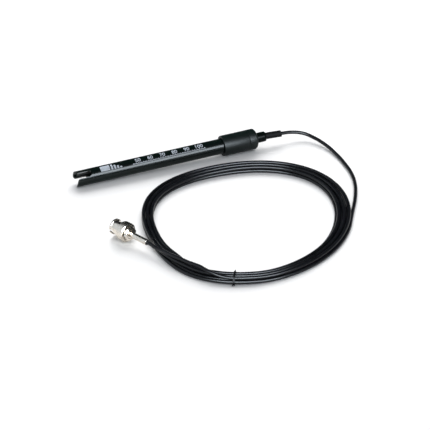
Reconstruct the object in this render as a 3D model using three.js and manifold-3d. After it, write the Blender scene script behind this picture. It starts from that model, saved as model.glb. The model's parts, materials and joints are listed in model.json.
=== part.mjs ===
// Laboratory conductivity electrode: a slotted two-prong probe with a grip collar,
// a three-metre coaxial lead wound into a tied coil, and a BNC bayonet plug.
//
// Millimetres, +Z up. The object lies on the plane z = 0 as it rests on a bench: the probe
// points its tip along -X and leans on its tip and on the front rim of its collar.
// The origin is under the middle of the probe.

import * as THREE from 'three';
import { mergeVertices } from 'three/addons/utils/BufferGeometryUtils.js';
import Module from 'manifold-3d';

const wasm = await Module();
wasm.setup();

// ---------------------------------------------------------------- driving dimensions

const GAP = 0.3;                 // clearance between pieces that touch

// Probe: s runs along its axis, from 0 at the tip
const SHAFT_RADIUS = 6;
const BORE_RADIUS = 4.5;
const SHAFT_LENGTH = 132;        // 120 in view, the rest inside the collar
const SLOT_WIDTH = 5.8;
const SLOT_DEPTH = 12;
const SLOT_FLARE = 2.3;          // radius of the prongs' rounded mouth corners
const SLOT_TURN = THREE.MathUtils.degToRad(32);   // the slot leans from upright
const PLATE_INNER_RADIUS = 3.8;
const PLATE_OUTER_RADIUS = 4.2;
const PLATE_SPREAD = THREE.MathUtils.degToRad(64);
const PLATE_FRONT = 2.5;
const CARRIER_FRONT = 15;
const CARRIER_STEP = 21;
const CARRIER_BACK = 27;
const WIRE_OFFSET = 3.2;         // electrode wires, from the axis
const WIRE_RADIUS = 0.4;
const SOLDER_FRONT = 96;
const SOLDER_BACK = 106;
const POTTING_FRONT = 112;
const POTTING_BACK = 124;

const COLLAR_RADIUS = 8;
const COLLAR_FRONT = 120;
const COLLAR_BACK = 141;
const RING_SEAL_AT = 125;
const CAP_FRONT = COLLAR_BACK + GAP;
const CAP_BACK = 148;
const CAP_CHAMFER = 1.1;
const SPIGOT_FRONT = 133;
const NOSE_RADIUS = 4;
const NOSE_BACK = 156.3;
const BOOT_RADIUS = 2.6;
const BOOT_BORE = 1.7;
const BOOT_FRONT = 150.8;

// Where the boot's far end hangs, in the object's frame, and the middle of the boot
const BOOT_END = [84.8, 0, 8.0];
const PROBE_MIDDLE = 85.0;       // half of the probe's length, tip to boot end

// Cable
const CABLE_RADIUS = 1.4;
const CABLE_SIDES = 8;

// The lead from the boot down to the bench and round to the coil, points chosen by hand
const LEAD_ROUTE = [
  [94.5, -0.1, 7.0],
  [102.8, -2.4, 5.4],
  [108.8, -9.7, 3.9],
  [113.0, -20.4, 2.7],
  [115.2, -35.2, 1.8],
  [115.1, -52.7, 1.4],
  [113.2, -68.1, 1.4],
  [109.0, -82.4, 1.4],
  [103.8, -94.0, 1.4],
  [96.8, -106.7, 1.4],
];

// The tail over the coil to the plug, points chosen by hand
const TAIL_ROUTE = [
  [-48.1, -153.1, 7.5],
  [-53.5, -144.3, 7.5],
  [-57.5, -136.6, 7.5],
  [-61.4, -129.5, 7.5],
  [-64.6, -121.8, 7.45],
  [-67.8, -115.4, 7.35],
];

// Coil: the middle of the bundle is a ring, drawn out along one diagonal and a little
// uneven, as a coil wound by hand is. Each lobe is waves to the turn, height, and the
// direction in degrees that its first crest is turned by.
const COIL_CENTRE = [12.0, -98.7];
const COIL_RADIUS = 75.75;
const COIL_LOBES = [[2, 4.45, 93], [3, 2.27, 30], [4, 1.18, 168]];
const PITCH_TIGHT = 2.9;         // strand spacing where the bundle is tight
const PITCH_SPREAD = 1.25;       // added where it spreads
const SPREAD_TOWARDS = THREE.MathUtils.degToRad(35);
const COIL_HEIGHT = 5.8;
const COIL_STEPS = 96;

const TIE_AT = THREE.MathUtils.degToRad(-119.7);
const TIE_WIDTH = 2;
const TIE_THICKNESS = 0.9;
const TIE_INNER_HALF = 6.6;
const TIE_INNER_TOP = 6.2;

// BNC plug: x runs along its axis, from 0 at the back end of the ferrule
const PLUG_BACK = [-70.2, -107.4];
const PLUG_HEADING = THREE.MathUtils.degToRad(113);
const RING_RADIUS = 7.25;
const FERRULE_LENGTH = 16;
const FERRULE_RADIUS = 2.2;
const FERRULE_BORE = 1.7;
const NECK_FRONT = 9;
const BODY_BACK = 16.5;
const BODY_RADIUS = 3.3;
const FLANGE_BACK = 24.7;
const FLANGE_FRONT = 25.9;
const FLANGE_RADIUS = 4.6;
const NUT_CORNER_RADIUS = 5.9;
const NUT_FRONT = 18.9;
const SLEEVE_BACK = 19.3;
const KNURL_FRONT = 25.2;
const SLEEVE_FRONT = 33.5;
const RIM_BACK = 32.2;
const RIM_RADIUS = 5.95;
const RECESS_RADIUS = 5.7;
const BARREL_RADIUS = 5.5;
const BARREL_BORE = 4.95;
const LIP_BACK = 21.0;
const LIP_FRONT = 22.2;
const LIP_BORE = 3.6;
const RAMP_HALF_WIDTH = 1.1;
const RAMP_ENTRY = THREE.MathUtils.degToRad(-9);
const RAMP_SWEEP = THREE.MathUtils.degToRad(75);
const CONTACT_OUTER = 4.05;
const CONTACT_INNER = 3.55;
const CONTACT_FRONT = 32.4;
const INSULATOR_FRONT = 27.6;
const PIN_RADIUS = 0.65;
const PIN_FRONT = 32;
const TAIL_END = NECK_FRONT - GAP;

// ---------------------------------------------------------------- materials

function finish(color, roughness, metalness) {
  return new THREE.MeshStandardMaterial({ color, roughness, metalness });
}

const shaftPlastic = finish(0x0c1414, 0.28, 0);
const collarPlastic = finish(0x16201f, 0.62, 0);
const softRubber = finish(0x191a1c, 0.75, 0);
const cableJacket = finish(0x0d0e12, 0.42, 0);
const nickel = finish(0xb9b2a4, 0.26, 1);
const brass = finish(0xc9a24d, 0.3, 1);
const graphite = finish(0x3b3c3f, 0.55, 0.3);
const ptfe = finish(0xe9e6dc, 0.5, 0);
const resin = finish(0x2a2b2a, 0.5, 0);
const copper = finish(0xb87548, 0.35, 1);

// ---------------------------------------------------------------- solids

// A closed geometry as a solid: shared vertices merged, collapsed faces dropped, faces outwards
function solid(geometry) {
  const bare = geometry.clone();
  bare.deleteAttribute('normal');
  bare.deleteAttribute('uv');
  const merged = mergeVertices(bare, 1e-4);
  const vertProperties = new Float32Array(merged.attributes.position.array);
  const index = merged.index.array;
  const triangles = [];
  let volume = 0;
  const corner = (i) => new THREE.Vector3().fromArray(vertProperties, 3 * i);
  for (let i = 0; i < index.length; i += 3) {
    const [a, b, c] = [index[i], index[i + 1], index[i + 2]];
    if (a === b || b === c || c === a) continue;
    triangles.push([a, b, c]);
    volume += corner(a).dot(corner(b).cross(corner(c)));
  }
  const outward = volume > 0 ? triangles : triangles.map(([a, b, c]) => [a, c, b]);
  const triVerts = new Uint32Array(outward.flat());
  return new wasm.Manifold(new wasm.Mesh({ numProp: 3, vertProperties, triVerts }));
}

function geometryOf(manifold) {
  const mesh = manifold.getMesh();
  const geometry = new THREE.BufferGeometry();
  geometry.setAttribute('position', new THREE.BufferAttribute(mesh.vertProperties, 3));
  geometry.setIndex(new THREE.BufferAttribute(mesh.triVerts, 1));
  return geometry;
}

function cut(geometry, ...tools) {
  const left = tools.reduce((body, tool) => body.subtract(solid(tool)), solid(geometry));
  return geometryOf(left);
}

// A shape drawn in the YZ plane and pushed out along X, or a lathe profile turned about X
const SHAPE_ALONG_X = new THREE.Matrix4().makeBasis(
  new THREE.Vector3(0, 1, 0), new THREE.Vector3(0, 0, 1), new THREE.Vector3(1, 0, 0));
const LATHE_ALONG_X = new THREE.Matrix4().makeBasis(
  new THREE.Vector3(0, 1, 0), new THREE.Vector3(1, 0, 0), new THREE.Vector3(0, 0, -1));

// Turned piece: corners are [x, radius] round the closed outline of its section
function turned(corners, sides = 32) {
  const outline = [...corners, corners[0]].map(([x, radius]) => new THREE.Vector2(radius, x));
  const lathe = new THREE.LatheGeometry(outline, sides).applyMatrix4(LATHE_ALONG_X);
  return geometryOf(solid(lathe));
}

function rod(from, to, radius, sides = 24) {
  return turned([[from, 0], [from, radius], [to, radius], [to, 0]], sides);
}

function pipe(from, to, inner, outer, sides = 32) {
  return turned([[from, inner], [from, outer], [to, outer], [to, inner]], sides);
}

function extrudedAlongX(shape, from, to) {
  const extrusion = new THREE.ExtrudeGeometry(shape, {
    depth: to - from, bevelEnabled: false, curveSegments: 10,
  });
  return extrusion.applyMatrix4(SHAPE_ALONG_X).translate(from, 0, 0);
}

function ringSection(inner, outer, sides) {
  const at = (radius, i) => {
    const turn = (2 * Math.PI * i) / sides;
    return new THREE.Vector2(radius * Math.cos(turn), radius * Math.sin(turn));
  };
  const corners = [...Array(sides).keys()];
  const section = new THREE.Shape(corners.map((i) => at(outer, i)));
  if (inner > 0) section.holes.push(new THREE.Path(corners.map((i) => at(inner, i)).reverse()));
  return section;
}

function tubeAlong(points, inner, outer, sides, steps) {
  const curve = new THREE.CatmullRomCurve3(
    points.map((point) => new THREE.Vector3(...point)), false, 'centripetal');
  const extrusion = new THREE.ExtrudeGeometry(ringSection(inner, outer, sides), {
    steps, bevelEnabled: false, extrudePath: curve,
  });
  return geometryOf(solid(extrusion));
}

function named(name, geometry, material) {
  const mesh = new THREE.Mesh(geometry, material);
  mesh.name = name;
  return mesh;
}

// ---------------------------------------------------------------- probe

const TILT = Math.atan2(COLLAR_RADIUS - SHAFT_RADIUS, COLLAR_FRONT);

const probe = new THREE.Group();
probe.rotation.y = -TILT;
probe.position.set(-PROBE_MIDDLE, 0, SHAFT_RADIUS * Math.cos(TILT));

// A point of the object's frame in the probe's own frame
function inProbe([x, y, z]) {
  probe.updateMatrixWorld();
  return probe.worldToLocal(new THREE.Vector3(x, y, z)).toArray();
}

function bodyTube() {
  const tube = pipe(0, SHAFT_LENGTH, BORE_RADIUS, SHAFT_RADIUS, 48);
  const slot = new THREE.Shape();
  const half = SLOT_WIDTH / 2;
  const mouth = half + SLOT_FLARE;
  slot.moveTo(-1, -mouth);
  slot.lineTo(0, -mouth);
  slot.absarc(SLOT_FLARE, -mouth, SLOT_FLARE, Math.PI, Math.PI / 2, true);
  slot.lineTo(SLOT_DEPTH - half, -half);
  slot.absarc(SLOT_DEPTH - half, 0, half, -Math.PI / 2, Math.PI / 2);
  slot.absarc(SLOT_FLARE, mouth, SLOT_FLARE, -Math.PI / 2, -Math.PI, true);
  slot.lineTo(-1, mouth);
  const reach = 4 * SHAFT_RADIUS;
  const cutter = new THREE.ExtrudeGeometry(slot, {
    depth: reach, bevelEnabled: false, curveSegments: 12,
  });
  cutter.translate(0, 0, -reach / 2).rotateX(SLOT_TURN);
  return named('body_tube', cut(tube, cutter), shaftPlastic);
}

// The plates hug the bore on each prong, and their backs are held by the carrier
function electrodePlate(name, side) {
  const middle = side * Math.PI / 2 + Math.PI / 2 + SLOT_TURN;
  const from = middle - PLATE_SPREAD / 2;
  const to = middle + PLATE_SPREAD / 2;
  const section = new THREE.Shape();
  section.absarc(0, 0, PLATE_OUTER_RADIUS, from, to, false);
  section.absarc(0, 0, PLATE_INNER_RADIUS, to, from, true);
  return named(name, extrudedAlongX(section, PLATE_FRONT, CARRIER_STEP - GAP), graphite);
}

function wireTurn(side) {
  return side * Math.PI / 2 + Math.PI / 2 + SLOT_TURN;
}

function offAxis(geometry, side, distance) {
  const turn = wireTurn(side);
  return geometry.translate(0, distance * Math.cos(turn), distance * Math.sin(turn));
}

function electrodeCarrier() {
  const body = turned([
    [CARRIER_FRONT, 0], [CARRIER_FRONT, PLATE_INNER_RADIUS - GAP],
    [CARRIER_STEP, PLATE_INNER_RADIUS - GAP], [CARRIER_STEP, PLATE_OUTER_RADIUS],
    [CARRIER_BACK, PLATE_OUTER_RADIUS], [CARRIER_BACK, 0],
  ]);
  const hole = (side) => offAxis(
    rod(CARRIER_STEP - 1, CARRIER_BACK + 1, WIRE_RADIUS + GAP, 12), side, WIRE_OFFSET);
  return named('electrode_carrier', cut(body, hole(1), hole(-1)), resin);
}

function electrodeLead(name, side) {
  const wire = rod(CARRIER_STEP + GAP, SOLDER_BACK - 2, WIRE_RADIUS, 10);
  return named(name, offAxis(wire, side, WIRE_OFFSET), copper);
}

function solderSleeve(name, side) {
  const sleeve = pipe(SOLDER_FRONT, SOLDER_BACK, WIRE_RADIUS + GAP, 1.1, 12);
  return named(name, offAxis(sleeve, side, WIRE_OFFSET), ptfe);
}

function pottingPlug() {
  const plug = pipe(POTTING_FRONT, POTTING_BACK, CABLE_RADIUS + GAP, BORE_RADIUS - GAP);
  return named('potting_plug', plug, resin);
}

function innerCable() {
  return named('inner_cable', rod(108, BOOT_FRONT - GAP, CABLE_RADIUS, 16), cableJacket);
}

function collarSleeve() {
  const bore = SHAFT_RADIUS + GAP;
  const sleeve = turned([
    [COLLAR_FRONT, bore], [COLLAR_FRONT, COLLAR_RADIUS],
    [COLLAR_BACK, COLLAR_RADIUS], [COLLAR_BACK, bore],
    [RING_SEAL_AT + 1, bore], [RING_SEAL_AT + 1, bore + 1],
    [RING_SEAL_AT - 1, bore + 1], [RING_SEAL_AT - 1, bore],
  ], 48);
  return named('collar_sleeve', sleeve, collarPlastic);
}

function collarRingSeal() {
  const seal = new THREE.TorusGeometry(SHAFT_RADIUS + 0.65, 0.35, 6, 32);
  seal.applyMatrix4(SHAPE_ALONG_X).translate(RING_SEAL_AT, 0, 0);
  return named('collar_o_ring', geometryOf(solid(seal)), softRubber);
}

function endCap() {
  const spigot = SHAFT_RADIUS;
  const shankBore = 3.5;
  const nutPocket = 5.2;
  const pocketBack = 139.6;
  const cap = turned([
    [SPIGOT_FRONT, nutPocket], [SPIGOT_FRONT, spigot], [CAP_FRONT, spigot],
    [CAP_FRONT, COLLAR_RADIUS], [CAP_BACK - CAP_CHAMFER, COLLAR_RADIUS],
    [CAP_BACK, COLLAR_RADIUS - CAP_CHAMFER], [CAP_BACK, shankBore],
    [pocketBack, shankBore], [pocketBack, nutPocket],
  ], 40);
  return named('end_cap', cap, collarPlastic);
}

function glandNut() {
  const shank = 3.2;
  const nut = cut(rod(136, 139.2, 4.9, 6), rod(135, 140, shank + GAP, 24));
  return named('gland_nut', nut, brass);
}

// The nose screws through the cap, and its round front grips the boot
function glandNose() {
  const shank = 3.2;
  const rounding = 2.2;
  const round = [0, 1, 2, 3, 4].map((i) => {
    const turn = (i / 4) * (Math.PI / 2) * 0.85;
    return [NOSE_BACK - rounding + rounding * Math.sin(turn),
      NOSE_RADIUS - rounding + rounding * Math.cos(turn)];
  });
  const nose = turned([
    [135.4, BOOT_BORE], [135.4, shank], [CAP_BACK + GAP, shank], [CAP_BACK + GAP, NOSE_RADIUS],
    ...round, [round.at(-1)[0], BOOT_RADIUS + GAP], [147.5, BOOT_RADIUS + GAP], [147.5, BOOT_BORE],
  ], 24);
  return named('gland_nose', nose, shaftPlastic);
}

function cableGrommet() {
  const grommet = pipe(147.8, BOOT_FRONT - GAP, BOOT_BORE, BOOT_RADIUS, 24);
  return named('cable_grommet', grommet, softRubber);
}

// The boot leaves the nose straight and droops a little to its end
function bootPath() {
  const end = inProbe(BOOT_END);
  return [[BOOT_FRONT, 0, 0], [BOOT_FRONT + 6, 0, 0], [BOOT_FRONT + 12, 0, -0.25], end];
}

function strainReliefBoot() {
  const boot = tubeAlong(bootPath(), BOOT_BORE, BOOT_RADIUS, 20, 6);
  return named('strain_relief_boot', boot, softRubber);
}

probe.add(
  bodyTube(),
  electrodeCarrier(),
  electrodePlate('electrode_plate_far', -1),
  electrodePlate('electrode_plate_near', 1),
  electrodeLead('electrode_lead_far', -1),
  electrodeLead('electrode_lead_near', 1),
  solderSleeve('solder_sleeve_far', -1),
  solderSleeve('solder_sleeve_near', 1),
  pottingPlug(),
  innerCable(),
  collarSleeve(),
  collarRingSeal(),
  endCap(),
  glandNut(),
  glandNose(),
  cableGrommet(),
  strainReliefBoot(),
);

// ---------------------------------------------------------------- coil, lead, tail and tie

function coilMiddle(turn) {
  const lobe = ([waves, height, phase]) => (
    height * Math.cos(waves * turn - THREE.MathUtils.degToRad(phase)));
  return COIL_LOBES.reduce((radius, wave) => radius + lobe(wave), COIL_RADIUS);
}

function strandPitch(turn) {
  const nearness = 0.5 + 0.5 * Math.cos(turn - SPREAD_TOWARDS);
  return PITCH_TIGHT + PITCH_SPREAD * nearness ** 1.5;
}

function coilHalfWidth(turn) {
  return CABLE_RADIUS + 1.25 * strandPitch(turn);
}

function coilOutline(side) {
  return [...Array(COIL_STEPS).keys()].map((i) => {
    const turn = (2 * Math.PI * i) / COIL_STEPS;
    const radius = coilMiddle(turn) + side * coilHalfWidth(turn);
    return new THREE.Vector2(
      COIL_CENTRE[0] + radius * Math.cos(turn), COIL_CENTRE[1] + radius * Math.sin(turn));
  });
}

// Puts a piece modelled round the origin, with its X outwards, across the bundle at the tie
function atTie(geometry) {
  const radius = coilMiddle(TIE_AT);
  return geometry.rotateZ(TIE_AT).translate(
    COIL_CENTRE[0] + radius * Math.cos(TIE_AT), COIL_CENTRE[1] + radius * Math.sin(TIE_AT), 0);
}

function cableCoil() {
  const outline = new THREE.Shape(coilOutline(1));
  outline.holes.push(new THREE.Path(coilOutline(-1)));
  const ring = new THREE.ExtrudeGeometry(outline, { depth: COIL_HEIGHT, bevelEnabled: false });
  const depth = TIE_THICKNESS + GAP;
  const groove = new THREE.BoxGeometry(24, TIE_WIDTH + 2 * GAP, 2 * depth);
  return named('cable_coil', cut(ring, atTie(groove)), cableJacket);
}

function cableTie() {
  const outer = TIE_INNER_HALF + TIE_THICKNESS;
  const band = new THREE.BoxGeometry(2 * outer, TIE_WIDTH, TIE_INNER_TOP + TIE_THICKNESS);
  band.translate(0, 0, (TIE_INNER_TOP + TIE_THICKNESS) / 2);
  const inside = new THREE.BoxGeometry(
    2 * TIE_INNER_HALF, 2 * TIE_WIDTH, TIE_INNER_TOP - TIE_THICKNESS);
  inside.translate(0, 0, (TIE_INNER_TOP + TIE_THICKNESS) / 2);
  return named('cable_tie', atTie(cut(band, inside)), softRubber);
}

function cableLead() {
  const probeToWorld = (point) => probe.localToWorld(new THREE.Vector3(...point)).toArray();
  const inBoot = bootPath().map(probeToWorld);
  const lead = tubeAlong([...inBoot, ...LEAD_ROUTE], 0, CABLE_RADIUS, CABLE_SIDES, 30);
  return named('cable_lead', lead, cableJacket);
}

function onPlugAxis(x) {
  return [
    PLUG_BACK[0] + x * Math.cos(PLUG_HEADING),
    PLUG_BACK[1] + x * Math.sin(PLUG_HEADING),
    RING_RADIUS,
  ];
}

function cableTail() {
  const route = [...TAIL_ROUTE, onPlugAxis(-3), onPlugAxis(2), onPlugAxis(TAIL_END)];
  return named('cable_tail', tubeAlong(route, 0, CABLE_RADIUS, CABLE_SIDES, 10), cableJacket);
}

// ---------------------------------------------------------------- BNC plug

const plug = new THREE.Group();
plug.position.set(PLUG_BACK[0], PLUG_BACK[1], RING_RADIUS);
plug.rotation.z = PLUG_HEADING;

function crimpFerrule() {
  return named('crimp_ferrule', pipe(0, FERRULE_LENGTH, FERRULE_BORE, FERRULE_RADIUS, 24), nickel);
}

function plugBody() {
  const neck = CABLE_RADIUS;
  const pinBore = 0.9;
  const chamber = 2.4;
  const body = turned([
    [NECK_FRONT, pinBore], [NECK_FRONT, neck], [BODY_BACK, neck], [BODY_BACK, BODY_RADIUS],
    [FLANGE_BACK, BODY_RADIUS], [FLANGE_BACK, FLANGE_RADIUS],
    [FLANGE_FRONT, FLANGE_RADIUS], [FLANGE_FRONT, chamber], [19, chamber], [19, pinBore],
  ], 24);
  return named('plug_body', body, nickel);
}

function clampNut() {
  const hexagon = rod(BODY_BACK, NUT_FRONT, NUT_CORNER_RADIUS, 6);
  const nut = cut(hexagon, rod(BODY_BACK - 1, NUT_FRONT + 1, BODY_RADIUS + GAP, 24));
  return named('clamp_nut', nut, nickel);
}

function retainingRing() {
  return named('retaining_ring', pipe(20.2, 20.8, BODY_RADIUS + 0.15, 4.6, 24), nickel);
}

function thrustWasher() {
  return named('thrust_washer', pipe(22.4, 22.8, BODY_RADIUS + GAP, 4.6, 24), nickel);
}

// A thin ring whose two faces ripple together, three waves to the turn
function waveWasher() {
  const [inner, outer, from, to] = [BODY_RADIUS + GAP, 4.6, 23.95, 24.2];
  const ripple = 0.2;
  const ring = pipe(from, to, inner, outer, 24);
  const place = ring.attributes.position;
  for (let i = 0; i < place.count; i += 1) {
    const turn = Math.atan2(place.getZ(i), place.getY(i));
    place.setX(i, place.getX(i) + ripple * Math.cos(3 * turn));
  }
  return named('wave_washer', ring, nickel);
}

function outerContact() {
  const contact = pipe(FLANGE_FRONT + GAP, CONTACT_FRONT, CONTACT_INNER, CONTACT_OUTER);
  const slits = [0, 1].map((i) => {
    const slit = new THREE.BoxGeometry(5, 12, 0.5);
    return slit.translate(CONTACT_FRONT - 1.5, 0, 0).rotateX(Math.PI / 4 + (i * Math.PI) / 2);
  });
  return named('outer_contact', cut(contact, ...slits), nickel);
}

function insulator() {
  const bore = PIN_RADIUS + GAP;
  const stem = 2.1;
  const head = CONTACT_INNER - 0.25;
  const piece = turned([
    [19.3, bore], [19.3, stem], [FLANGE_FRONT + GAP, stem], [FLANGE_FRONT + GAP, head],
    [INSULATOR_FRONT, head], [INSULATOR_FRONT, bore],
  ], 24);
  return named('insulator', piece, ptfe);
}

function centrePin() {
  const pin = turned([
    [14, 0], [14, PIN_RADIUS - 0.1], [PIN_FRONT - 0.8, PIN_RADIUS], [PIN_FRONT, 0.2], [PIN_FRONT, 0],
  ], 16);
  return named('centre_pin', pin, brass);
}

function matingGasket() {
  return named('mating_gasket', pipe(26.1, 26.9, CONTACT_OUTER + 0.15, 4.7, 24), softRubber);
}

// One bayonet slot: a straight way in from the front rim, and a ramp that goes on from it
// round the barrel and back to its catch
function bayonetCutters(side) {
  const wall = (BARREL_RADIUS + BARREL_BORE) / 2;
  const [mouth, ramp, catchAt] = [SLEEVE_FRONT + 1.5, SLEEVE_FRONT - 2.2, SLEEVE_FRONT - 5.2];
  const entry = RAMP_ENTRY + side * Math.PI;
  const at = (x, turn) => [x, wall * Math.cos(turn), wall * Math.sin(turn)];
  const steps = 8;
  const round = [...Array(steps + 1).keys()].map((i) => {
    const share = i / steps;
    return at(ramp + (catchAt - ramp) * share, entry - RAMP_SWEEP * share);
  });
  const wayIn = [at(mouth, entry), at(ramp - 0.7 * RAMP_HALF_WIDTH, entry)];
  return [
    tubeAlong(wayIn, 0, RAMP_HALF_WIDTH, 10, 1),
    tubeAlong(round, 0, RAMP_HALF_WIDTH, 10, steps),
  ];
}

function couplingSleeve() {
  const chamfer = 0.5;
  const sleeve = turned([
    [SLEEVE_BACK, RECESS_RADIUS], [SLEEVE_BACK, RING_RADIUS - chamfer],
    [SLEEVE_BACK + chamfer, RING_RADIUS], [KNURL_FRONT - chamfer, RING_RADIUS],
    [KNURL_FRONT, RING_RADIUS - chamfer], [KNURL_FRONT, BARREL_RADIUS],
    [RIM_BACK, BARREL_RADIUS], [RIM_BACK, RIM_RADIUS], [SLEEVE_FRONT, RIM_RADIUS],
    [SLEEVE_FRONT, BARREL_BORE], [LIP_FRONT, BARREL_BORE], [LIP_FRONT, LIP_BORE],
    [LIP_BACK, LIP_BORE], [LIP_BACK, RECESS_RADIUS],
  ], 40);
  return named('coupling_sleeve', cut(sleeve, ...bayonetCutters(0), ...bayonetCutters(1)), nickel);
}

plug.add(
  crimpFerrule(),
  plugBody(),
  clampNut(),
  retainingRing(),
  thrustWasher(),
  waveWasher(),
  outerContact(),
  insulator(),
  centrePin(),
  matingGasket(),
  couplingSleeve(),
);

// ---------------------------------------------------------------- the whole object

const group = new THREE.Group();
group.add(probe, cableLead(), cableCoil(), cableTail(), cableTie(), plug);

export default group;
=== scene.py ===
"""A laboratory conductivity electrode with its coiled lead and bayonet plug, around its CAD frame.

Sizes are millimetres in the tables below and metres in Blender. A piece of the probe is
modelled about the X axis, from 0 at the tip, and a piece of the plug about the X axis, from
0 at the back of the ferrule, and its mesh is then laid where the frame has it.
"""

import json
import math

import bpy
from bpy.props import FloatProperty, FloatVectorProperty, IntProperty, PointerProperty
from mathutils import Matrix, Vector


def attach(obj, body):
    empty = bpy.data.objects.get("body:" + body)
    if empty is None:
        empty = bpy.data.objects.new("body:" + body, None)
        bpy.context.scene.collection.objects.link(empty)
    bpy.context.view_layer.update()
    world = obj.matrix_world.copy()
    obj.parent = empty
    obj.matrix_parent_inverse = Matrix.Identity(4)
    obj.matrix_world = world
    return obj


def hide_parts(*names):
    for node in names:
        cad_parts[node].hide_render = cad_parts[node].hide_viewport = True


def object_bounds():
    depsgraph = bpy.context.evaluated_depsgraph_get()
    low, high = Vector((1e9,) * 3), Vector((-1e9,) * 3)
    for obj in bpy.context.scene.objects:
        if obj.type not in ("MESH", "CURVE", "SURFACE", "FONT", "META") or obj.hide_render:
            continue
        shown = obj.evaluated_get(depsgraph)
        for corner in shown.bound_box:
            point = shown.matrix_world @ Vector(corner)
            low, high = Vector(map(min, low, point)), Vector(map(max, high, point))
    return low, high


bl_info = {
    "name": "Conductivity electrode",
    "version": (1, 0, 0),
    "blender": (4, 5, 0),
    "location": "View3D > Sidebar > Electrode",
    "description": "Models a conductivity electrode, its coiled lead and its bayonet plug",
    "category": "Object",
}

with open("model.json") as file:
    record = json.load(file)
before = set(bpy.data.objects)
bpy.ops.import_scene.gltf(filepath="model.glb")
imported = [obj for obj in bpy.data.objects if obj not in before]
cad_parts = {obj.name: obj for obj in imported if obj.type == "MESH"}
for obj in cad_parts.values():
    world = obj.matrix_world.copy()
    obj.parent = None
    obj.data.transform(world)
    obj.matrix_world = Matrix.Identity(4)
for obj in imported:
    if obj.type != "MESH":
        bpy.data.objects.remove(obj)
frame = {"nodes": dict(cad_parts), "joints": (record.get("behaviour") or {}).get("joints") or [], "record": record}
CAD_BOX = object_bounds()

MM = 0.001
TURN = 2 * math.pi
UP = Vector((0, 0, 1))

# ---------------------------------------------------------------- places from the frame


def laid_along(origin, along):
    """The matrix that carries a piece modelled about X to its axis, its Z kept upmost."""
    along = along.normalized()
    across = UP.cross(along).normalized()
    turned = Matrix((along, across, along.cross(across))).transposed().to_4x4()
    return Matrix.Translation(origin) @ turned


def mount(name):
    """Where a mount of the record stands, and the way it faces."""
    found = next(m for m in frame["record"]["mounts"] if m["name"] == name)
    return Vector(found["pos_m"]), Vector(found["axis"])


def coupling_joint():
    """A point on the plug's axis, 22 mm along it, and its direction."""
    found = next(j for j in frame["joints"] if j["name"] == "coupling_turn")
    return Vector(found["pos_m"]), Vector(found["axis"])


SHOULDER_AT = 120 * MM
SHOULDER_HEIGHT = 7.15 * MM
JOINT_AT = 22 * MM

shoulder, shoulder_faces = mount("collar_shoulder")
PROBE_ALONG = -shoulder_faces.normalized()
PROBE_UP = PROBE_ALONG.cross(UP.cross(PROBE_ALONG)).normalized()
TIP = shoulder - PROBE_UP * SHOULDER_HEIGHT - PROBE_ALONG * SHOULDER_AT
ON_PROBE = laid_along(TIP, PROBE_ALONG)

joint_point, PLUG_ALONG = coupling_joint()
PLUG_BACK = joint_point - PLUG_ALONG.normalized() * JOINT_AT
ON_PLUG = laid_along(PLUG_BACK, PLUG_ALONG)

BOOT_END = Vector((84.8, 0, 8.0)) * MM

# ---------------------------------------------------------------- modelling


def bare():
    """Nothing selected, in object mode."""
    if bpy.context.object and bpy.context.object.mode != "OBJECT":
        bpy.ops.object.mode_set(mode="OBJECT")
    bpy.ops.object.select_all(action="DESELECT")


def applied():
    """The active object, with its place, turn and size moved into its mesh."""
    bpy.ops.object.transform_apply(location=True, rotation=True, scale=True)
    return bpy.context.object


def only(piece):
    bare()
    piece.select_set(True)
    bpy.context.view_layer.objects.active = piece
    return piece


def cleaned(piece):
    """Doubles merged and every face outwards."""
    bpy.ops.object.mode_set(mode="EDIT")
    bpy.ops.mesh.select_all(action="SELECT")
    bpy.ops.mesh.remove_doubles(threshold=1e-6)
    bpy.ops.mesh.normals_make_consistent(inside=False)
    bpy.ops.object.mode_set(mode="OBJECT")
    return piece


def drawn(name, corners):
    """A closed chain of edges through places in metres, drawn by extruding one vertex."""
    bare()
    bpy.ops.mesh.primitive_plane_add(size=MM)
    piece = bpy.context.object
    piece.name = name
    bpy.ops.object.mode_set(mode="EDIT")
    bpy.ops.mesh.select_mode(type="VERT")
    bpy.ops.mesh.select_all(action="SELECT")
    bpy.ops.mesh.merge(type="CENTER")
    at = corners[0]
    bpy.ops.transform.translate(value=at)
    for to in [*corners[1:], corners[0]]:
        bpy.ops.mesh.extrude_region_move(TRANSFORM_OT_translate={"value": to - at})
        at = to
    bpy.ops.mesh.select_all(action="SELECT")
    bpy.ops.mesh.remove_doubles(threshold=1e-6)
    bpy.ops.mesh.select_all(action="SELECT")
    return piece


def spun(name, corners, sides=96, sweep=TURN):
    """Turns a closed outline of [along, radius] corners, in mm, about X by the spin tool."""
    piece = drawn(name, [Vector((along, 0, radius)) * MM for along, radius in corners])
    bpy.ops.mesh.spin(steps=sides, angle=sweep, center=(0, 0, 0), axis=(1, 0, 0))
    bpy.ops.object.mode_set(mode="OBJECT")
    return cleaned(piece)


def prism(name, corners, depth):
    """Fills a closed outline of [x, y] corners, in mm, and extrudes it both ways along Z."""
    piece = drawn(name, [Vector((x, y, -depth / 2)) * MM for x, y in corners])
    bpy.ops.mesh.edge_face_add()
    bpy.ops.mesh.extrude_region_move(TRANSFORM_OT_translate={"value": (0, 0, depth * MM)})
    bpy.ops.object.mode_set(mode="OBJECT")
    return cleaned(piece)


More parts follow.
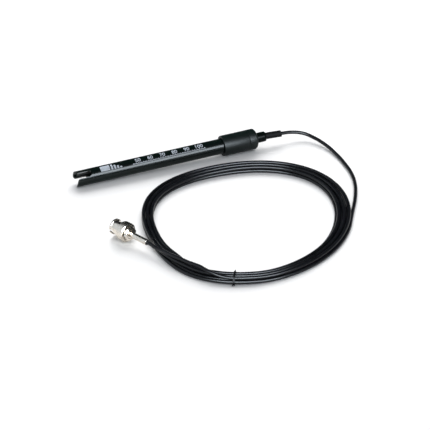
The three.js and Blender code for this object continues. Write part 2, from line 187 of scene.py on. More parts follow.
def rounded(corners, size, steps=3):
    """The same closed outline with each corner that has a size there cut to an arc."""
    outline = []
    count = len(corners)
    for i, (along, radius) in enumerate(corners):
        reach = size.get(i, 0) if isinstance(size, dict) else size
        here = Vector((along, radius))
        if not reach:
            outline.append((along, radius))
            continue
        back = Vector(corners[i - 1]) - here
        on = Vector(corners[(i + 1) % count]) - here
        start = here + back.normalized() * min(reach, 0.45 * back.length)
        end = here + on.normalized() * min(reach, 0.45 * on.length)
        for k in range(steps + 1):
            t = k / steps
            point = start.lerp(here, t).lerp(here.lerp(end, t), t)
            outline.append((point.x, point.y))
    return outline


def add_modifier(piece, kind, **settings):
    only(piece)
    modifier = piece.modifiers.new(kind.title(), kind)
    for key, value in settings.items():
        setattr(modifier, key, value)
    bpy.ops.object.modifier_apply(modifier=modifier.name)
    return piece


def carved(piece, *cutters):
    """Cuts the cutters out of a piece and removes them."""
    for cutter in cutters:
        add_modifier(piece, "BOOLEAN", operation="DIFFERENCE", solver="EXACT", object=cutter)
        only(cutter)
        bpy.ops.object.delete()
    only(piece)
    return piece


def softened(piece, width, segments=2, corner=30):
    return add_modifier(
        piece, "BEVEL", width=width * MM, segments=segments, limit_method="ANGLE",
        angle_limit=math.radians(corner), use_clamp_overlap=True)


def out_from_axis(vertex):
    """How far a vertex is from the X axis, in mm."""
    return math.hypot(vertex.co.y, vertex.co.z) / MM


def pressed(vertex, scale):
    """Moves a vertex towards the X axis, or away from it."""
    vertex.co.y *= scale
    vertex.co.z *= scale


def hexagon_reach(vertex, flat):
    """How far from the X axis a hexagon with its flats at a distance reaches at a vertex."""
    turn = (math.atan2(vertex.co.z, vertex.co.y) % (TURN / 6)) - TURN / 12
    return flat / math.cos(turn)


def joined(name, pieces):
    bare()
    for piece in pieces:
        piece.select_set(True)
    bpy.context.view_layer.objects.active = pieces[0]
    if len(pieces) > 1:
        bpy.ops.object.join()
    pieces[0].name = name
    return pieces[0]


def smooth(piece, corner=35):
    only(piece)
    bpy.ops.object.shade_smooth_by_angle(angle=math.radians(corner))
    return piece


def settled(piece, matrix, finish, body, slot, *nodes):
    """Lays a finished piece in the frame, with its finish and the CAD nodes it stands for."""
    piece.data.transform(matrix)
    piece.data.materials.clear()
    piece.data.materials.append(finishes()[finish])
    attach(piece, body)
    if nodes:
        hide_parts(*nodes)
    return piece


def made():
    """An operator's result, with nothing left selected."""
    bare()
    return {"FINISHED"}


# ---------------------------------------------------------------- finishes


class Wire:
    """An output of a node, which arithmetic adds Math nodes to."""

    def __init__(self, finish, socket):
        self.finish = finish
        self.socket = socket

    def calc(self, operation, *values):
        return self.finish.node("ShaderNodeMath", {"operation": operation}, self, *values)

    def __add__(self, other):
        return self.calc("ADD", other)

    def __rsub__(self, other):
        return self.finish.node("ShaderNodeMath", {"operation": "SUBTRACT"}, other, self)

    def __mul__(self, other):
        return self.calc("MULTIPLY", other)

    __radd__ = __add__
    __rmul__ = __mul__


class Finish:
    """A procedural material on one Principled shader."""

    def __init__(self, name):
        self.material = bpy.data.materials.new(name)
        self.material.use_nodes = True
        self.tree = self.material.node_tree
        self.shader = self.tree.nodes["Principled BSDF"]

    def node(self, kind, settings=None, *inputs, out=0, **named):
        """Adds a node: its settings first, then its sockets by order or by name."""
        made_node = self.tree.nodes.new(kind)
        for key, value in (settings or {}).items():
            setattr(made_node, key, value)
        sockets = list(zip(made_node.inputs, inputs))
        sockets += [(made_node.inputs[key.replace("_", " ")], v) for key, v in named.items()]
        for socket, value in sockets:
            self.feed(socket, value)
        return Wire(self, made_node.outputs[out])

    def feed(self, socket, value):
        if isinstance(value, Wire):
            self.tree.links.new(value.socket, socket)
        elif socket.type == "RGBA":
            socket.default_value = (*value[:3], 1)
        else:
            socket.default_value = value

    def object_place(self, matrix=None):
        """Object coordinates in mm, in a piece's own axes where its matrix is given."""
        place = self.node("ShaderNodeTexCoord", out="Object")
        back = (matrix or Matrix.Identity(4)).inverted()
        return self.node(
            "ShaderNodeMapping", {"vector_type": "POINT"}, place,
            Location=back.translation / MM, Rotation=back.to_euler(),
            Scale=(1 / MM, 1 / MM, 1 / MM))

    def noise(self, place, size, detail=3.0, roughness=0.55):
        """Cloudy noise from 0 to 1 whose lumps are about size mm across."""
        return self.node(
            "ShaderNodeTexNoise", {"noise_dimensions": "3D"}, Vector=place,
            Scale=1 / size, Detail=detail, Roughness=roughness)

    def patches(self, value, low, high):
        """0 where a value is under low and 1 where it is over high, evenly between."""
        return self.node("ShaderNodeMapRange", None, value, low, high, 0.0, 1.0)

    def mixed(self, low, high, share):
        """A colour part of the way from low to high."""
        mix = self.tree.nodes.new("ShaderNodeMix")
        mix.data_type = "RGBA"
        factor, colour_a, colour_b = 0, 6, 7
        self.feed(mix.inputs[factor], share)
        self.feed(mix.inputs[colour_a], low)
        self.feed(mix.inputs[colour_b], high)
        return Wire(self, mix.outputs[2])

    def bumped(self, height, depth):
        """A normal from a height of 0 to 1 that stands for depth mm."""
        return self.node(
            "ShaderNodeBump", None, Height=height, Distance=depth * MM, Strength=1.0)

    def paint(self, **sockets):
        for key, value in sockets.items():
            self.feed(self.shader.inputs[key.replace("_", " ")], value)
        return self.material


def clouded(name, dark, light, lump, rough, grain, depth, matrix=None, shine=0.5):
    """A plastic or rubber: clouded colour and gloss, and a moulded grain of its own size."""
    finish = Finish(name)
    place = finish.object_place(matrix)
    cloud = finish.noise(place, lump)
    fine = finish.noise(place, grain, 2.0, 0.6)
    colour = finish.mixed(dark, light, cloud * 0.65 + fine * 0.35)
    finish.shader.inputs["Specular IOR Level"].default_value = shine
    return finish.paint(
        Base_Color=colour,
        Roughness=rough[0] + (rough[1] - rough[0]) * (cloud * 0.5 + fine * 0.5),
        Normal=finish.bumped(fine, depth))


def shaft_gloss():
    """Polished green-black moulding with faint wipe marks along it."""
    finish = Finish("shaft_gloss")
    place = finish.object_place(ON_PROBE)
    settings = bpy.context.scene.electrode_probe
    cloud = finish.noise(place, 9)
    along = finish.node("ShaderNodeVectorMath", {"operation": "MULTIPLY"}, place, (0.06, 1, 1))
    wiped = finish.noise(along, 0.9, 4.0, 0.6)
    dust = finish.noise(place, 0.35, 2.0)
    speck = finish.patches(dust, 0.66, 0.74)
    base = finish.mixed(settings.shaft_colour, (0.003, 0.009, 0.008), cloud)
    finish.shader.inputs["Specular IOR Level"].default_value = 0.2
    return finish.paint(
        Base_Color=finish.mixed(base, (0.03, 0.04, 0.04), speck * 0.3),
        Roughness=0.15 + wiped * 0.16 + speck * 0.2,
        Normal=finish.bumped(cloud * 0.7 + wiped * 0.3, 0.012))


def collar_grain():
    """Spark-eroded grain on the grip collar and its cap."""
    finish = Finish("collar_grain")
    place = finish.object_place(ON_PROBE)
    settings = bpy.context.scene.electrode_probe
    coarse = finish.noise(place, 0.85, 3.0, 0.6)
    fine = finish.noise(place, 0.2, 2.0)
    cloud = finish.noise(place, 6)
    peaks = finish.patches(coarse, 0.35, 0.68)
    finish.shader.inputs["Specular IOR Level"].default_value = 0.17
    colour = finish.mixed(settings.collar_colour, (0.005, 0.014, 0.012), peaks * 0.6 + cloud * 0.4)
    return finish.paint(
        Base_Color=colour,
        Roughness=0.36 + cloud * 0.06 + fine * 0.08,
        Normal=finish.bumped(peaks * 0.75 + fine * 0.25, 0.05))


def cable_jacket():
    """Satin PVC: clouded gloss, and the faint ribs of the braid beneath."""
    finish = Finish("cable_jacket")
    place = finish.object_place()
    settings = bpy.context.scene.electrode_cable
    cloud = finish.noise(place, 11)
    fine = finish.noise(place, 0.5, 3.0)
    scuffs = finish.patches(finish.noise(place, 3.2, 4.0, 0.65), 0.62, 0.75)
    finish.shader.inputs["Specular IOR Level"].default_value = 0.25
    base = finish.mixed(settings.jacket_colour, (0.008, 0.009, 0.012), cloud)
    return finish.paint(
        Base_Color=finish.mixed(base, (0.02, 0.022, 0.026), scuffs * 0.4),
        Roughness=0.22 + cloud * 0.08 + fine * 0.05 + scuffs * 0.12,
        Normal=finish.bumped(fine, 0.012))


def plated(name, colour, shade, rough, matrix):
    """Bright plating over turned metal: tool rings along the axis, tarnish in patches."""
    finish = Finish(name)
    place = finish.object_place(matrix)
    along = finish.node("ShaderNodeSeparateXYZ", None, place)
    ring_pitch = 0.22
    rings = (along * (TURN / ring_pitch)).calc("SINE") * 0.5 + 0.5
    cloud = finish.noise(place, 2.6, 4.0, 0.6)
    specks = finish.noise(place, 0.3, 2.0)
    tarnish = finish.patches(cloud, 0.5, 0.75)
    return finish.paint(
        Base_Color=finish.mixed(colour, shade, tarnish * 0.5 + specks * 0.25),
        Metallic=1.0 - tarnish * 0.06,
        Roughness=rough + tarnish * 0.12 + specks * 0.06,
        Normal=finish.bumped(rings * 0.6 + specks * 0.4, 0.003))


def print_ink():
    """Pad-printed pale ink, worn thin in places."""
    finish = Finish("print_ink")
    place = finish.object_place(ON_PROBE)
    wear = finish.patches(finish.noise(place, 1.1, 5.0, 0.7), 0.52, 0.74)
    return finish.paint(
        Base_Color=finish.mixed((0.52, 0.58, 0.66), (0.2, 0.24, 0.28), wear),
        Roughness=0.42 + wear * 0.15)


FINISHES = {}


def finishes():
    """Every finish of the object, by the name the pieces ask for it."""
    if FINISHES:
        return FINISHES
    FINISHES.update(
        shaft=shaft_gloss(),
        collar=collar_grain(),
        boot=clouded("boot_rubber", (0.004, 0.004, 0.0045), (0.010, 0.010, 0.011), 2.4,
                     (0.5, 0.68), 0.24, 0.02, ON_PROBE, 0.06),
        gland=clouded("gland_plastic", (0.001, 0.003, 0.0025), (0.004, 0.008, 0.007), 3.0,
                      (0.22, 0.34), 0.3, 0.008, ON_PROBE, 0.05),
        gasket=clouded("seal_rubber", (0.012, 0.012, 0.013), (0.03, 0.03, 0.032), 1.2,
                       (0.5, 0.7), 0.15, 0.01),
        jacket=cable_jacket(),
        tie=clouded("tie_plastic", (0.003, 0.003, 0.0035), (0.008, 0.008, 0.009), 1.5,
                    (0.4, 0.5), 0.3, 0.02, None, 0.1),
        nickel=plated("nickel_plate", (0.72, 0.67, 0.60), (0.42, 0.35, 0.28), 0.17, ON_PLUG),
        brass=plated("pin_gilding", (0.86, 0.66, 0.34), (0.55, 0.38, 0.18), 0.18, ON_PLUG),
        nut_brass=plated("nut_brass", (0.8, 0.6, 0.3), (0.4, 0.28, 0.14), 0.24, ON_PROBE),
        copper=plated("tinned_copper", (0.75, 0.5, 0.36), (0.6, 0.58, 0.55), 0.3, ON_PROBE),
        graphite=clouded("electrode_coating", (0.009, 0.013, 0.011), (0.04, 0.045, 0.042), 0.8,
                         (0.3, 0.55), 0.16, 0.015, ON_PROBE),
        white=clouded("white_plastic", (0.7, 0.68, 0.62), (0.82, 0.81, 0.77), 1.6,
                      (0.3, 0.45), 0.2, 0.006),
        resin=clouded("potting_resin", (0.02, 0.021, 0.02), (0.05, 0.05, 0.045), 2.0,
                      (0.2, 0.4), 0.3, 0.01, ON_PROBE),
        ink=print_ink(),
    )
    return FINISHES


# ---------------------------------------------------------------- the lead's route

CABLE_RADIUS = 1.4
CABLE = 2 * CABLE_RADIUS
COIL_CENTRE = (12.0, -98.7)
COIL_RADIUS = 75.75
COIL_LOBES = ((2, 4.45, 93), (3, 2.27, 30), (4, 1.18, 168))
PITCH_TIGHT = 2.9
PITCH_SPREAD = 1.25
SPREAD_TOWARDS = 35
TIE_AT = -119.7

# Points chosen, as the CAD's: from the boot down to the bench and round to the coil
LEAD_ROUTE = (
    (94.5, -0.1, 7.0), (102.8, -2.4, 5.4), (108.8, -9.7, 3.9), (113.0, -20.4, 2.7),
    (115.2, -35.2, 1.8), (115.1, -52.7, 1.4), (113.2, -68.1, 1.4), (109.0, -82.4, 1.4),
    (103.8, -94.0, 1.4), (96.8, -106.7, 1.4), (90.9, -116.1, 1.4),
)
TAIL_ROUTE = (
    (-48.1, -153.1, 7.5), (-53.5, -144.3, 7.5), (-57.5, -136.6, 7.5), (-61.4, -129.5, 7.5),
    (-64.6, -121.8, 7.45), (-67.8, -115.4, 7.35),
)
BOOT_ROUTE = ((151.2, 0), (156.8, 0), (162.8, -0.25))
PLUG_ROUTE = (-3.0, 2.0, 8.7)

# The coil is wound clockwise. A strand starts outermost on the bench, and each time round,
# between these two directions, it moves on by one place: 0 to 3 lie on the bench from the
# outside in, and 4 to 6 lie on them from the inside out.
SHIFT_FROM = -140
SHIFT_TO = -172
RETURN_FROM = 40         # the bench row comes back outwards between these two
RETURN_TO = -20
LAST_BENCH_PLACE = 3
STEP_UP_SWING = 1.75     # how far the strand swings inwards as it climbs to the upper row
COIL_START = -21
COIL_END = -360 * 6 - 121
COIL_STEP = 9


def eased(value, low, high):
    """0 before low and 1 after high, smoothly between; low may be the greater."""
    share = min(max((value - low) / (high - low), 0), 1)
    return share * share * (3 - 2 * share)


def coil_middle(turn):
    return COIL_RADIUS + sum(
        height * math.cos(math.radians(waves * turn - phase))
        for waves, height, phase in COIL_LOBES)


def strand_pitch(turn):
    nearness = 0.5 + 0.5 * math.cos(math.radians(turn - SPREAD_TOWARDS))
    return PITCH_TIGHT + PITCH_SPREAD * nearness ** 1.5


def bench_row_shift(turn):
    """How far the bench row has moved inwards, in half pitches, at a direction."""
    local = (turn + 180) % 360 - 180
    if local < SHIFT_TO or local > RETURN_FROM:
        return 1.0
    if local < SHIFT_FROM:
        return eased(local, SHIFT_FROM, SHIFT_TO)
    return 1 - eased(local, RETURN_FROM, RETURN_TO)


def lying(place, pitch, shift):
    """How far out from the bundle's middle, and how high, a place of the bundle is."""
    if place <= LAST_BENCH_PLACE:
        return (1.5 - place + 0.5 * shift) * pitch, CABLE_RADIUS
    aside = (1 - shift) * pitch / 2
    return (place - 5) * pitch, CABLE_RADIUS + math.sqrt(CABLE ** 2 - aside ** 2)


def strand_place(turn):
    """How far out, and how high, the strand is at a turn counted from the coil's start."""
    pitch = strand_pitch(turn)
    laps = (SHIFT_FROM - turn) / 360
    place = math.floor(laps)
    share = (laps - place) * 360 / (SHIFT_FROM - SHIFT_TO)
    if share >= 1 or place < 0:
        return lying(place + 1, pitch, bench_row_shift(turn))
    step = eased(share, 0, 1)
    out_from, height_from = lying(place, pitch, 0)
    out_to, height_to = lying(place + 1, pitch, 1)
    out = out_from + (out_to - out_from) * step
    if place == LAST_BENCH_PLACE:
        out -= STEP_UP_SWING * math.sin(math.pi * step)
        return out, height_from + (height_to - height_from) * step
    return out, height_from + (height_to - height_from) * eased(share, 0, 0.35)


def coil_point(turn, out, height):
    radius = coil_middle(turn) + out
    angle = math.radians(turn)
    return Vector((COIL_CENTRE[0] + radius * math.cos(angle),
                   COIL_CENTRE[1] + radius * math.sin(angle), height)) * MM


def over_the_tie(turn):
    """How far the tie beneath them lifts the strands, at its own direction and near it."""
    away = abs((turn - TIE_AT + 180) % 360 - 180)
    return 0.75 * (1 - eased(away, 3, 20))


def coil_route():
    """The turns of the coil, from where the lead joins it to where the tail leaves it."""
    count = round((COIL_START - COIL_END) / COIL_STEP)
    route = []
    for i in range(count + 1):
        turn = COIL_START + (COIL_END - COIL_START) * i / count
        out, height = strand_place(turn)
        sway = (strand_pitch(turn) - PITCH_TIGHT) * 0.22
        out += sway * math.sin(math.radians(3.3 * turn + 40))
        route.append(coil_point(turn, out, height + over_the_tie(turn)))
    return route


def tail_rise():
    """Out of the last place, up round its neighbour, and on to the tail's own route."""
    steps = ((-126.5, 2.55, 5.2), (-131.5, 1.6, 6.5), (-135.0, 0.6, 7.2))
    return [coil_point(turn, out, height) for turn, out, height in steps]


def cable_route():
    in_boot = [ON_PROBE @ (Vector((along, 0, up)) * MM) for along, up in BOOT_ROUTE]
    on_plug = [ON_PLUG @ (Vector((along, 0, 0)) * MM) for along in PLUG_ROUTE]
    return [
        *in_boot, BOOT_END, *(Vector(p) * MM for p in LEAD_ROUTE), *coil_route(),
        *tail_rise(), *(Vector(p) * MM for p in TAIL_ROUTE), *on_plug]


# ---------------------------------------------------------------- the tie's outline


def strands_at(turn):
    """The middle of every strand that passes a direction, in the bundle's own section."""
    pitch = strand_pitch(turn)
    lift = over_the_tie(turn)
    places = [lying(place, pitch, 0) for place in range(7)]
    return [Vector((out, height + lift)) for out, height in places]


def tie_outline(count, clear):
    """Points round the strands at the tie, as a tight band lies on them."""
    strands = strands_at(TIE_AT)
    outline = []
    for i in range(count):
        faces = Vector((math.cos(TURN * i / count), math.sin(TURN * i / count)))
        outermost = max(strands, key=lambda strand: strand.dot(faces))
        outline.append(outermost + faces * (CABLE_RADIUS + clear))
    return outline


def at_tie():
    """The matrix of the bundle's section at the tie: X outwards, Y along the strands."""
    angle = math.radians(TIE_AT)
    foot = coil_point(TIE_AT, 0, 0)
    return Matrix.Translation(foot) @ Matrix.Rotation(angle, 4, "Z")


# ---------------------------------------------------------------- what a user would change


class StageSettings(bpy.types.PropertyGroup):
    floor_colour: FloatVectorProperty(
        name="Floor", description="Colour of the bench and the ground about it",
        subtype="COLOR", default=(0.93, 0.93, 0.93), min=0, max=1)
    key_power: FloatProperty(
        name="Key light", description="Power of the soft light behind and above",
        default=118.0, unit="POWER")
    front_power: FloatProperty(
        name="Front light", description="Power of the wide light seen in the gloss",
        default=215.0, unit="POWER")
    side_power: FloatProperty(
        name="Side light", description="Power of the card that the metal mirrors",
        default=10.0, unit="POWER")


class ProbeSettings(bpy.types.PropertyGroup):
    shaft_colour: FloatVectorProperty(
        name="Shaft", description="Colour of the polished shaft", subtype="COLOR",
        default=(0.001, 0.0045, 0.0035), min=0, max=1)
    collar_colour: FloatVectorProperty(
        name="Collar", description="Colour of the grained collar and cap", subtype="COLOR",
        default=(0.001, 0.005, 0.004), min=0, max=1)
    shaft_radius: FloatProperty(
        name="Shaft radius", description="Outside radius of the shaft", unit="LENGTH",
        default=6 * MM)
    collar_radius: FloatProperty(
        name="Collar radius", description="Outside radius of the collar", unit="LENGTH",
        default=8 * MM)


class CableSettings(bpy.types.PropertyGroup):
    jacket_colour: FloatVectorProperty(
        name="Jacket", description="Colour of the cable's jacket", subtype="COLOR",
        default=(0.003, 0.0035, 0.005), min=0, max=1)
    sides: IntProperty(
        name="Roundness", description="Steps of the curve's bevel", default=3, min=2, max=8)


class PlugSettings(bpy.types.PropertyGroup):
    knurls: IntProperty(
        name="Knurls", description="Diamonds round the coupling ring", default=44, min=12)
    knurl_depth: FloatProperty(
        name="Knurl depth", description="Depth of the ring's knurling", unit="LENGTH",
        default=0.16 * MM)


# ---------------------------------------------------------------- operators


class ELECTRODE_OT_stage(bpy.types.Operator):
    """Adds the floor, the soft lights and the camera"""

    bl_idname = "electrode.stage"
    bl_label = "Stage"

    FLOOR_SIZE = 16
    CAMERA_AT = (-683.4, -1654.7, 1030.1)
    CAMERA_FACES = (-5.1, -80.2, 0)
    LENS = 226.02
    SENSOR = 36
    ROOM_LIGHT = 0.54
    ROOM_IN_GLOSS = 0.02

    def execute(self, context):
        settings = context.scene.electrode_stage
        low, high = CAD_BOX
        middle = (Vector(low) + Vector(high)) / 2
        middle.z = 0
        self.add_floor(settings, middle)
        self.add_lights(settings, middle)
        self.add_camera(context)
        self.set_world(context)
        return made()

    def add_floor(self, settings, middle):
        bare()
        bpy.ops.mesh.primitive_plane_add(size=self.FLOOR_SIZE, location=middle)
        floor = bpy.context.object
        floor.name = "floor"
        paper = Finish("floor_paper")
        tooth = paper.noise(paper.object_place(), 1.5)
        floor.data.materials.append(paper.paint(
            Base_Color=paper.mixed(settings.floor_colour, (0.9, 0.9, 0.9), tooth * 0.3),
            Roughness=0.9 + tooth * 0.1))

    def add_lights(self, settings, middle):
        """One soft light for the shade, and two cards that are only seen in the gloss."""
        self.add_light("key", middle, 154, 37, 3.0, (2.6, 2.2), settings.key_power, False)
        self.add_light("front", middle, -15, 35, 1.7, (2.66, 1.0), settings.front_power, True)
        self.add_light("side", middle, -116, 28, 1.5, (2.0, 1.6), settings.side_power, True)

    def add_light(self, name, middle, azimuth, elevation, away, size, power, in_gloss):
        """An area light in a direction in degrees, where 0 is the -Y side, facing the middle."""
        turn, rise = math.radians(azimuth), math.radians(elevation)
        towards = Vector((math.sin(turn) * math.cos(rise),
                          -math.cos(turn) * math.cos(rise), math.sin(rise)))
        bare()
        bpy.ops.object.light_add(
            type="AREA", location=middle + towards * away,
            rotation=towards.to_track_quat("Z", "Y").to_euler())
        light = bpy.context.object
        light.name = name
        light.data.shape = "RECTANGLE"
        light.data.size, light.data.size_y = size
        light.data.energy = power
        light.data.color = (0.84, 0.92, 1.0) if in_gloss else (1.0, 0.995, 0.99)
        light.visible_glossy = in_gloss
        light.visible_diffuse = not in_gloss

    def add_camera(self, context):
        bare()
        place = Vector(self.CAMERA_AT) * MM
        looks_at = Vector(self.CAMERA_FACES) * MM
        bpy.ops.object.camera_add(
            location=place, rotation=(looks_at - place).to_track_quat("-Z", "Y").to_euler())
        camera = bpy.context.object
        camera.data.sensor_width = self.SENSOR
        camera.data.lens = self.LENS
        camera.data.clip_end = 30
        context.scene.camera = camera

    def set_world(self, context):
        """Even pale light on everything, and a dim room in the gloss."""
        world = bpy.data.worlds.new("room")
        world.use_nodes = True
        context.scene.world = world
        nodes, links = world.node_tree.nodes, world.node_tree.links
        pale = nodes["Background"]
        pale.inputs["Color"].default_value = (0.97, 0.98, 1.0, 1)
        pale.inputs["Strength"].default_value = self.ROOM_LIGHT
        dim = nodes.new("ShaderNodeBackground")
        dim.inputs["Color"].default_value = (0.8, 0.95, 1.0, 1)
        dim.inputs["Strength"].default_value = self.ROOM_IN_GLOSS
        ray = nodes.new("ShaderNodeLightPath")
        mix = nodes.new("ShaderNodeMixShader")
        links.new(ray.outputs["Is Glossy Ray"], mix.inputs[0])
        links.new(pale.outputs[0], mix.inputs[1])
        links.new(dim.outputs[0], mix.inputs[2])
        links.new(mix.outputs[0], nodes["World Output"].inputs["Surface"])
        context.scene.view_settings.view_transform = "Standard"


class ELECTRODE_OT_shaft(bpy.types.Operator):
    """Turns the shaft, cuts its tip into two prongs, and fits the plates and their carrier"""

    bl_idname = "electrode.shaft"
    bl_label = "Shaft"

    SLOT_WIDTH = 5.8
    SLOT_DEPTH = 12
    SLOT_TURN = 32
    SLOT_FLARE = 2.3
    CUTTER_PAST_TIP = 1.5
    CUTTER_PAST_FLARE = 0.4
    CUTTER_DEPTH = 30
    BORE = 4.5
    BACK = 132
    PLATE_SPREAD = 64

    def execute(self, context):
        radius = context.scene.electrode_probe.shaft_radius / MM
        corners = [(0, self.BORE), (0, radius), (self.BACK, radius), (self.BACK, self.BORE)]
        tube = spun("shaft", rounded(corners, {0: 0.25, 1: 0.4}))
        carved(tube, self.slot_cutter())
        smooth(tube, 32)
        settled(tube, ON_PROBE, "shaft", "electrode", "shaft_plastic", "body_tube")
        for side, name in ((-1, "far"), (1, "near")):
            self.add_plate(side, name)
        self.add_carrier()
        return made()

    def slot_cutter(self):
        """A round-ended slot that flares where it opens at the tip."""
        half, flare = self.SLOT_WIDTH / 2, self.SLOT_FLARE
        end = self.SLOT_DEPTH - half
        side = [(-self.CUTTER_PAST_TIP, half + flare + self.CUTTER_PAST_FLARE), (0, half + flare)]
        side += [(flare - flare * math.cos(turn), half + flare - flare * math.sin(turn))
                 for turn in (math.radians(15 * i) for i in range(1, 7))]
        side += [(end + half * math.sin(turn), half * math.cos(turn))
                 for turn in (math.radians(7.5 * i) for i in range(13))]
        other = [(x, -y) for x, y in reversed(side[:-1])]
        cutter = prism("slot_cutter", side + other, self.CUTTER_DEPTH)
        cutter.data.transform(Matrix.Rotation(math.radians(self.SLOT_TURN), 4, "X"))
        return cutter

    def add_plate(self, side, name):
        """A curved plate on one prong's inner wall."""
        plate = spun(
            f"plate_{name}", rounded([(2.5, 3.8), (2.5, 4.2), (20.7, 4.2), (20.7, 3.8)], 0.12),
            sides=20, sweep=math.radians(self.PLATE_SPREAD))
        bpy.ops.object.mode_set(mode="EDIT")
        bpy.ops.mesh.select_all(action="DESELECT")
        bpy.ops.mesh.select_mode(type="EDGE")
        bpy.ops.mesh.select_non_manifold()
        bpy.ops.mesh.fill_holes(sides=0)
        bpy.ops.mesh.select_all(action="SELECT")
        bpy.ops.mesh.normals_make_consistent(inside=False)
        bpy.ops.object.mode_set(mode="OBJECT")
        direction = math.radians(side * 90 + 90 + self.SLOT_TURN)
        middle = sum((Vector((0, v.co.y, v.co.z)) for v in plate.data.vertices), Vector())
        stands = math.atan2(middle.z, middle.y)
        plate.data.transform(Matrix.Rotation(direction - stands, 4, "X"))
        smooth(plate)
        settled(plate, ON_PROBE, "graphite", "electrode", "graphite",
                f"electrode_plate_{name}")

    def add_carrier(self):
        corners = [(15, 0), (15, 3.5), (21, 3.5), (21, 4.2), (27, 4.2), (27, 0)]
        carrier = spun("carrier", rounded(corners, {1: 0.5, 3: 0.2, 4: 0.2}), 64)
        smooth(carrier)
        settled(carrier, ON_PROBE, "resin", "electrode", "resin",
                "electrode_carrier")


class ELECTRODE_OT_collar(bpy.types.Operator):
    """Turns the grip collar and the end cap behind its seam"""

    bl_idname = "electrode.collar"
    bl_label = "Collar and cap"

    def execute(self, context):
        radius = context.scene.electrode_probe.collar_radius / MM
        bore = 6.3
        corners = [(120, bore), (120, radius), (141, radius), (141, bore),
                   (126, bore), (126, 7.3), (124, 7.3), (124, bore)]
        collar = spun("grip_collar", rounded(corners, {0: 0.2, 1: 0.45, 2: 0.25}), 112)
        smooth(collar)
        settled(collar, ON_PROBE, "collar", "electrode", "collar_plastic",
                "collar_sleeve")
        corners = [(133, 5.2), (133, 6), (141.3, 6), (141.3, radius), (146.9, radius),
                   (148, radius - 1.1), (148, 3.5), (139.6, 3.5), (139.6, 5.2)]
        cap = spun("cap", rounded(corners, {3: 0.25, 4: 0.5, 5: 0.35, 6: 0.2}), 112)
        smooth(cap)
        settled(cap, ON_PROBE, "collar", "electrode", "collar_plastic", "end_cap")
        return made()


class ELECTRODE_OT_gland(bpy.types.Operator):
    """Turns the round-nosed gland and the drooping sleeve on the cable"""

    bl_idname = "electrode.gland"
    bl_label = "Gland and strain relief"

    SLEEVE_FRONT = 150.8
    SLEEVE_BACK = 169.8
    DROOP = (156, 176)       # the sleeve droops between these two places along it

    def execute(self, context):
        corners = [(135.4, 1.7), (135.4, 3.2), (148.3, 3.2), (148.3, 4), (156.3, 4),
                   (156.3, 2.9), (147.5, 2.9), (147.5, 1.7)]
        nose = spun("gland", rounded(corners, {3: 0.15, 4: 2.1, 5: 0.1}, 6), 80)
        smooth(nose, 40)
        settled(nose, ON_PROBE, "gland", "electrode", "shaft_plastic", "gland_nose")
        self.add_sleeve()
        return made()

    def add_sleeve(self):
        """A straight sleeve, then drooped to where the cable leaves it."""
        front, back = self.SLEEVE_FRONT, self.SLEEVE_BACK
        rings = 24
        outer = [(front + (back - front) * i / rings, 2.6) for i in range(rings + 1)]
        corners = outer + [(back, 1.7), (front, 1.7)]
        sleeve = spun("cable_sleeve", rounded(corners, {0: 0.2, rings: 0.22, rings + 1: 0.12}), 56)
        end_drop = (ON_PROBE.inverted() @ BOOT_END).z
        for vertex in sleeve.data.vertices:
            droop = eased(vertex.co.x / MM, *self.DROOP) / eased(self.SLEEVE_BACK, *self.DROOP)
            vertex.co.z += end_drop * droop
        smooth(sleeve)
        settled(sleeve, ON_PROBE, "boot", "electrode", "soft_rubber",
                "strain_relief_boot")


